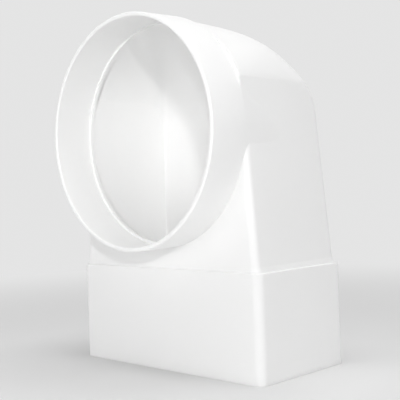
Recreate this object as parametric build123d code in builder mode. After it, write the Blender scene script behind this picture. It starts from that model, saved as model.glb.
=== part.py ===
"""Reducing duct elbow: one white moulding that takes a flat duct below and a round pipe in front.

The frame has its origin in the middle of the rectangular mouth, on the plane that the elbow stands on.
X runs across the flat duct, Y to the back and Z up. The round mouth faces -Y. Sizes are in millimetres.
"""
import os
from math import atan2, cos, radians, sin, sqrt, tan

from build123d import *

# Moulding
wall = 1.8
rim_bevel = 0.4
least_corner = 0.6

# Flat duct that plugs into the rectangular socket
duct_width = 110.0
duct_depth = 54.0
duct_clearance = 0.4
socket_depth = 45.0
sleeve_corner = 3.6

# Shoulder between the rectangular socket and the narrower body above it: a ledge, then a hollow slope
shoulder_rise = 2.6
ledge_rise = 0.4
ledge_share = 0.7
side_step = 1.9
front_step = 0.9
back_step = 2.2

# Body: the sides and the back lean inwards (degrees), the front stays upright
side_taper = 4.0
back_lean = 2.5
body_corner = 3.0

# Round pipe that plugs into the collar, which is a little higher and wider at its root than at its rim
axis_height = 107.0
pipe_diameter = 100.0
pipe_clearance = 0.25
pipe_depth = 19.7
stop_lip = 1.05
collar_draft = 0.25
collar_lift = 0.6

# Neck: behind the collar the outside narrows and sinks, and so it runs out into the sides and the crown
crown_drop = 0.75
neck_length = 30.0
neck_taper = 1.0
neck_sink = 8.0
gusset_drop = 17.0

# Heel: the top is an arch with a soft edge along each side, and it flattens out on its way down the back
turn_drop = 5.0
turn_reach = 31.5
edge_rise = 20.5
edge_bend = 13.5
crown_bend = 46.6
edge_tuck = 18.0
arch_share = 0.95
arch_lift = 0.6
arch_spread = 0.4
flattening_start = 40.0
flattening_end = 82.0
flattening_rate = 1.8

# Curve weight that makes a quarter bend of a corner round
round_weight = 0.5523

# Sizes worked out from those above
sleeve_width = duct_width + 2 * (duct_clearance + wall)
sleeve_depth = duct_depth + 2 * (duct_clearance + wall)
sleeve_height = socket_depth + wall / 2
body_base = sleeve_height + shoulder_rise
body_half = sleeve_width / 2 - side_step
front = -sleeve_depth / 2 + front_step
back = sleeve_depth / 2 - back_step
inner_corner = max(body_corner - wall, least_corner)
bore_radius = pipe_diameter / 2 + pipe_clearance
rim_radius = bore_radius + wall
root_radius = rim_radius + collar_draft
throat_radius = bore_radius - stop_lip
rim = front - pipe_depth
crown_height = axis_height + rim_radius - crown_drop
edge_height = axis_height + edge_rise
gusset_height = axis_height - gusset_drop

# The heel's sections lie in planes that turn about a line across the elbow, in front of the body (degrees).
# The arch has flattened out before the last stretch, and that stretch is straight.
turn_height = axis_height - turn_drop
turn_line = front - turn_reach
section_start = turn_reach / 3
section_angles = [0, 14, 26, 36, 45, 53, 60, 66, 71, 75, 79, flattening_end, 90]


def half_width(height):
    """Half the body's width at a height."""
    return body_half - tan(radians(side_taper)) * (height - body_base)


def back_face(height, base):
    """Where a face that leans like the back lies at a height, if it starts from base at the shoulder."""
    return base - tan(radians(back_lean)) * (height - body_base)


def reach(angle, level, bend, base):
    """Distance from the turning line to a guide that runs level, bends and then leans down like the back."""
    lean = radians(back_lean)
    centre_height = level - bend
    centre_back = back_face(centre_height, base) - bend / cos(lean)
    centre = Vector(centre_back - turn_line, centre_height - turn_height)
    bend_start = centre + Vector(0, bend)
    bend_end = centre + Vector(bend * cos(lean), bend * sin(lean))
    if angle < atan2(bend_start.X, bend_start.Y):
        return (level - turn_height) / cos(angle)
    if angle > atan2(bend_end.X, bend_end.Y):
        return (back_face(turn_height, base) - turn_line) / (sin(angle) + tan(lean) * cos(angle))
    middle = centre.dot(Vector(sin(angle), cos(angle)))
    return middle + sqrt(middle**2 - centre.dot(centre) + bend**2)


def section_face(
    plane, start, half_start, edge, half_edge, crown, corner, tuck=0.0, lift=round_weight, spread=round_weight
):
    """A duct section: straight sides from start to edge, then a curve on each side in to the flat at crown."""
    flat = half_edge - corner
    lifted = edge + lift * (crown - edge)
    tucked = half_edge - lift * (crown - edge) * tan(tuck)
    shoulder = flat + spread * corner
    with BuildSketch(plane) as section:
        with BuildLine():
            Polyline((-half_edge, edge), (-half_start, start), (half_start, start), (half_edge, edge))
            Bezier((half_edge, edge), (tucked, lifted), (shoulder, crown), (flat, crown))
            Line((flat, crown), (-flat, crown))
            Bezier((-flat, crown), (-shoulder, crown), (-tucked, lifted), (-half_edge, edge))
        make_face()
    return section.sketch


def heel_form(inset):
    """The bend, with sections that turn from an upright arch behind the collar to a level rectangle."""
    faces = []
    for degrees in section_angles:
        angle = radians(degrees)
        edge = reach(angle, edge_height, edge_bend, back - body_corner)
        crown = reach(angle, crown_height - inset, crown_bend - inset, back - inset)
        half_start = half_width(turn_height + section_start * cos(angle)) - inset
        half_edge = half_width(turn_height + edge * cos(angle)) - inset
        turned = (degrees - flattening_start) / (flattening_end - flattening_start)
        turned = min(max(turned, 0), 1)
        arched = (1 - turned) ** flattening_rate
        last_corner = inner_corner if inset else body_corner
        corner = last_corner + (arch_share * half_edge - last_corner) * arched
        lift = round_weight + (arch_lift - round_weight) * arched
        spread = round_weight + (arch_spread - round_weight) * arched
        tuck = radians(edge_tuck) * arched
        plane = Plane((0, turn_line, turn_height), x_dir=(1, 0, 0), z_dir=(0, -cos(angle), sin(angle)))
        faces.append(
            section_face(plane, section_start, half_start, edge, half_edge, crown, corner, tuck, lift, spread)
        )
    with BuildPart() as heel:
        loft(faces[:-1])
        loft(faces[-2:], ruled=True)
        split(bisect_by=Plane.XZ.offset(-front - inset), keep=Keep.BOTTOM)
    return heel.part


def level_face(height, half, near, far, corner):
    """A level rounded rectangle, from near to far along Y."""
    side = half - corner
    pull = half - (1 - round_weight) * corner
    first = near + corner
    first_pull = near + (1 - round_weight) * corner
    last = far - corner
    last_pull = far - (1 - round_weight) * corner
    with BuildSketch(Plane.XY.offset(height)) as level:
        with BuildLine():
            Line((-side, near), (side, near))
            Bezier((side, near), (pull, near), (half, first_pull), (half, first))
            Line((half, first), (half, last))
            Bezier((half, last), (half, last_pull), (pull, far), (side, far))
            Line((side, far), (-side, far))
            Bezier((-side, far), (-pull, far), (-half, last_pull), (-half, last))
            Line((-half, last), (-half, first))
            Bezier((-half, first), (-half, first_pull), (-pull, near), (-side, near))
        make_face()
    return level.sketch


# Space inside: flat socket, body, throat behind the stop lip and round socket
with BuildPart() as inside:
    with BuildSketch():
        RectangleRounded(sleeve_width - 2 * wall, sleeve_depth - 2 * wall, sleeve_corner - wall)
    extrude(amount=socket_depth)
    riser_faces = []
    for height in (socket_depth - wall, turn_height):
        half = half_width(height) - wall
        far = back_face(height, back - wall)
        edge = back_face(height, back - body_corner)
        riser_faces.append(section_face(Plane.XY.offset(height), front + wall, half, edge, half, far, inner_corner))
    loft(riser_faces, ruled=True)
    add(heel_form(wall))
    with BuildSketch(Plane.XY.offset(axis_height)):
        with BuildLine():
            Polyline(
                (0, rim),
                (bore_radius, rim),
                (bore_radius, front),
                (throat_radius, front),
                (throat_radius, front + 2 * wall),
                (0, front + 2 * wall),
                close=True,
            )
        make_face()
    revolve(axis=Axis((0, 0, axis_height), (0, 1, 0)))

# The moulding: sleeve, shoulder and straight body, then the heel, then the collar with its neck
with BuildPart() as duct_elbow:
    foot = level_face(0, sleeve_width / 2, -sleeve_depth / 2, sleeve_depth / 2, sleeve_corner)
    sleeve_top = level_face(sleeve_height, sleeve_width / 2, -sleeve_depth / 2, sleeve_depth / 2, sleeve_corner)
    ledge = level_face(
        sleeve_height + ledge_rise,
        sleeve_width / 2 - ledge_share * side_step,
        -sleeve_depth / 2 + ledge_share * front_step,
        sleeve_depth / 2 - ledge_share * back_step,
        sleeve_corner,
    )
    body_faces = []
    for height in (body_base, gusset_height, turn_height):
        body_faces.append(level_face(height, half_width(height), front, back_face(height, back), body_corner))
    loft([foot, sleeve_top, ledge] + body_faces, ruled=True)
    add(heel_form(0))
    round_faces = []
    for depth, centre_height, radius in (
        (rim, axis_height, rim_radius),
        (front, axis_height + collar_lift, root_radius),
        (front + neck_length, axis_height - neck_sink, root_radius - neck_taper),
    ):
        with BuildSketch(Plane((0, depth, centre_height), x_dir=(1, 0, 0), z_dir=(0, 1, 0))) as ring:
            Circle(radius)
        round_faces.append(ring.sketch)
    loft(round_faces, ruled=True)
    add(inside.part, mode=Mode.SUBTRACT)
    chamfer(duct_elbow.faces().sort_by(Axis.Y)[0].edges(), rim_bevel)

duct_elbow.part.label = "duct_elbow"

os.makedirs("parts", exist_ok=True)
export_step(duct_elbow.part, "parts/duct_elbow.step")
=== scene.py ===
from math import cos, radians, sin

import bpy
from mathutils import Matrix, Vector

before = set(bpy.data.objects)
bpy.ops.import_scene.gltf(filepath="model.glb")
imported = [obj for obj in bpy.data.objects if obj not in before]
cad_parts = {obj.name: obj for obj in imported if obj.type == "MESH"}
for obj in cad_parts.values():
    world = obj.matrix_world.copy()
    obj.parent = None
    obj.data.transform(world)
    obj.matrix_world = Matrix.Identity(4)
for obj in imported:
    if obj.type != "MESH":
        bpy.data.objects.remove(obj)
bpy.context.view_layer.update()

# Elbow: one injection moulding in white plastic, with a rectangular socket below and a round one in front.
# The mould's faces are semi-gloss. They have a very fine grain, and the flat walls drew in a little as
# they cooled.
dull_white = (0.935, 0.935, 0.93, 1.0)
clear_white = (0.955, 0.955, 0.95, 1.0)
scatter_depth = 0.0015
smoothest = 0.30
roughest = 0.42
sink_depth = 0.001
grain_depth = 0.0002

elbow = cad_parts["duct_elbow"]
white_plastic = bpy.data.materials.new("white_plastic")
white_plastic.use_nodes = True
plastic_nodes = white_plastic.node_tree.nodes
plastic_links = white_plastic.node_tree.links
plastic = plastic_nodes["Principled BSDF"]
plastic.inputs["IOR"].default_value = 1.5
plastic.inputs["Specular IOR Level"].default_value = 0.5
plastic.inputs["Subsurface Weight"].default_value = 0.6
plastic.inputs["Subsurface Radius"].default_value = (1.0, 1.0, 1.0)
plastic.inputs["Subsurface Scale"].default_value = scatter_depth
moulding_place = plastic_nodes.new("ShaderNodeTexCoord")


def unevenness(scale, detail):
    """A soft, irregular pattern over the moulding. A larger scale gives smaller patches."""
    noise = plastic_nodes.new("ShaderNodeTexNoise")
    noise.inputs["Scale"].default_value = scale
    noise.inputs["Detail"].default_value = detail
    plastic_links.new(moulding_place.outputs["Object"], noise.inputs["Vector"])
    return noise.outputs["Fac"]


pigment = plastic_nodes.new("ShaderNodeValToRGB")
pigment.color_ramp.elements[0].position = 0.3
pigment.color_ramp.elements[0].color = dull_white
pigment.color_ramp.elements[1].position = 0.7
pigment.color_ramp.elements[1].color = clear_white
plastic_links.new(unevenness(28.0, 3.0), pigment.inputs["Fac"])
plastic_links.new(pigment.outputs["Color"], plastic.inputs["Base Color"])

polish = plastic_nodes.new("ShaderNodeMapRange")
polish.inputs["To Min"].default_value = smoothest
polish.inputs["To Max"].default_value = roughest
plastic_links.new(unevenness(60.0, 4.0), polish.inputs["Value"])
plastic_links.new(polish.outputs["Result"], plastic.inputs["Roughness"])

drawn_in = plastic_nodes.new("ShaderNodeBump")
drawn_in.inputs["Strength"].default_value = 0.15
drawn_in.inputs["Distance"].default_value = sink_depth
plastic_links.new(unevenness(22.0, 1.0), drawn_in.inputs["Height"])

grain = plastic_nodes.new("ShaderNodeBump")
grain.inputs["Strength"].default_value = 0.05
grain.inputs["Distance"].default_value = grain_depth
plastic_links.new(unevenness(1400.0, 2.0), grain.inputs["Height"])
plastic_links.new(drawn_in.outputs["Normal"], grain.inputs["Normal"])
plastic_links.new(grain.outputs["Normal"], plastic.inputs["Normal"])

for slot in elbow.material_slots:
    slot.material = white_plastic

# Floor: a plain pale studio floor under the elbow. Near the elbow it takes the shadow, and further out it
# runs into the pale background with no edge.
background_tone = 0.78
floor_grey = (0.80, 0.80, 0.80, 1.0)
floor_radius = 3.0
fade_start = 0.12
fade_end = 0.5


def seen_share(nodes, links):
    """1 for what is seen directly, mirrored or through something clear, and 0 for other light."""
    ray = nodes.new("ShaderNodeLightPath")
    seen = nodes.new("ShaderNodeMath")
    seen.operation = "MAXIMUM"
    links.new(ray.outputs["Is Camera Ray"], seen.inputs[0])
    links.new(ray.outputs["Is Glossy Ray"], seen.inputs[1])
    seen_through = nodes.new("ShaderNodeMath")
    seen_through.operation = "MAXIMUM"
    links.new(seen.outputs["Value"], seen_through.inputs[0])
    links.new(ray.outputs["Is Transmission Ray"], seen_through.inputs[1])
    return seen_through.outputs["Value"]


bpy.ops.mesh.primitive_circle_add(vertices=96, radius=floor_radius, fill_type="NGON", location=(0, 0, 0))
floor = bpy.context.object
floor.name = "floor"
pale_floor = bpy.data.materials.new("pale_floor")
pale_floor.use_nodes = True
floor_nodes = pale_floor.node_tree.nodes
floor_links = pale_floor.node_tree.links
matt = floor_nodes["Principled BSDF"]
matt.inputs["Base Color"].default_value = floor_grey
matt.inputs["Roughness"].default_value = 0.9
floor_place = floor_nodes.new("ShaderNodeTexCoord")
away = floor_nodes.new("ShaderNodeVectorMath")
away.operation = "LENGTH"
floor_links.new(floor_place.outputs["Object"], away.inputs[0])
fade = floor_nodes.new("ShaderNodeMapRange")
fade.interpolation_type = "SMOOTHSTEP"
fade.inputs["From Min"].default_value = fade_start
fade.inputs["From Max"].default_value = fade_end
floor_links.new(away.outputs["Value"], fade.inputs["Value"])
haze_share = floor_nodes.new("ShaderNodeMath")
haze_share.operation = "MULTIPLY"
floor_links.new(fade.outputs["Result"], haze_share.inputs[0])
floor_links.new(seen_share(floor_nodes, floor_links), haze_share.inputs[1])
haze = floor_nodes.new("ShaderNodeEmission")
haze.inputs["Color"].default_value = (background_tone, background_tone, background_tone, 1.0)
blend = floor_nodes.new("ShaderNodeMixShader")
floor_links.new(haze_share.outputs["Value"], blend.inputs["Fac"])
floor_links.new(matt.outputs["BSDF"], blend.inputs[1])
floor_links.new(haze.outputs["Emission"], blend.inputs[2])
floor_links.new(blend.outputs["Shader"], floor_nodes["Material Output"].inputs["Surface"])
floor.data.materials.append(pale_floor)

# Studio: a small key lamp in front on the right, broad lamps beside it, in front and above, and an even
# room. A narrow beam lights the round mouth, and a small lamp on the floor lights the inside from below.
# What is seen directly, mirrored or through something clear is the pale background, not the room's light.
room_light = 0.29
middle = Vector((0.0, -0.01, 0.08))
mouth = Vector((-0.011, -0.038, 0.104))

world = bpy.data.worlds.new("studio")
bpy.context.scene.world = world
world.use_nodes = True
room_nodes = world.node_tree.nodes
room_links = world.node_tree.links
room = room_nodes["Background"]
room.inputs["Color"].default_value = (1.0, 1.0, 1.0, 1.0)
room_level = room_nodes.new("ShaderNodeMapRange")
room_level.inputs["To Min"].default_value = room_light
room_level.inputs["To Max"].default_value = background_tone
room_links.new(seen_share(room_nodes, room_links), room_level.inputs["Value"])
room_links.new(room_level.outputs["Result"], room.inputs["Strength"])


def aimed_lamp(data, place, target):
    """A lamp at a place, turned to a target."""
    lamp = bpy.data.objects.new(data.name, data)
    bpy.context.collection.objects.link(lamp)
    lamp.location = place
    lamp.rotation_euler = (target - Vector(place)).to_track_quat("-Z", "Y").to_euler()


def soft_lamp(name, place, size, power):
    """A square lamp with its side in metres and its power in watts, turned to the elbow's middle."""
    data = bpy.data.lights.new(name, "AREA")
    data.shape = "SQUARE"
    data.size = size
    data.energy = power
    aimed_lamp(data, place, middle)


soft_lamp("key_lamp", place=(0.683, -0.647, 0.304), size=0.04, power=2.5)
soft_lamp("fill_lamp", place=(0.60, -0.70, 0.30), size=0.50, power=0.6)
soft_lamp("front_lamp", place=(-0.10, -1.00, 0.12), size=0.50, power=2.0)
soft_lamp("base_lamp", place=(0.0, 0.0, 0.002), size=0.045, power=0.008)
soft_lamp("top_lamp", place=(0.10, 0.00, 0.95), size=0.60, power=4.6)

beam = bpy.data.lights.new("mouth_lamp", "SPOT")
beam.energy = 8.4
beam.spot_size = radians(7.0)
beam.spot_blend = 0.9
beam.shadow_soft_size = 0.03
aimed_lamp(beam, place=(0.65, -0.71, 0.13), target=mouth)

# Camera: in front on the elbow's right, at the height of its middle, with a slight roll. Its place, angles
# and lens were found by fitting the elbow's edges to the picture.
camera_place = Vector((0.2669, -0.2780, 0.0801))
yaw = radians(44.11)
pitch = radians(-0.56)
roll = radians(1.96)
focal_length = 72.4
sensor_width = 36.0

right = Vector((cos(yaw), sin(yaw), 0.0))
forward = Vector((-sin(yaw) * cos(pitch), cos(yaw) * cos(pitch), sin(pitch)))
down = forward.cross(right)
rolled_right = cos(roll) * right + sin(roll) * down
rolled_down = cos(roll) * down - sin(roll) * right
turn = Matrix((rolled_right, -rolled_down, -forward)).transposed()
lens = bpy.data.cameras.new("camera")
lens.lens = focal_length
lens.sensor_width = sensor_width
camera = bpy.data.objects.new("camera", lens)
bpy.context.collection.objects.link(camera)
camera.matrix_world = Matrix.Translation(camera_place) @ turn.to_4x4()
bpy.context.scene.camera = camera
bpy.context.scene.view_settings.view_transform = "Standard"
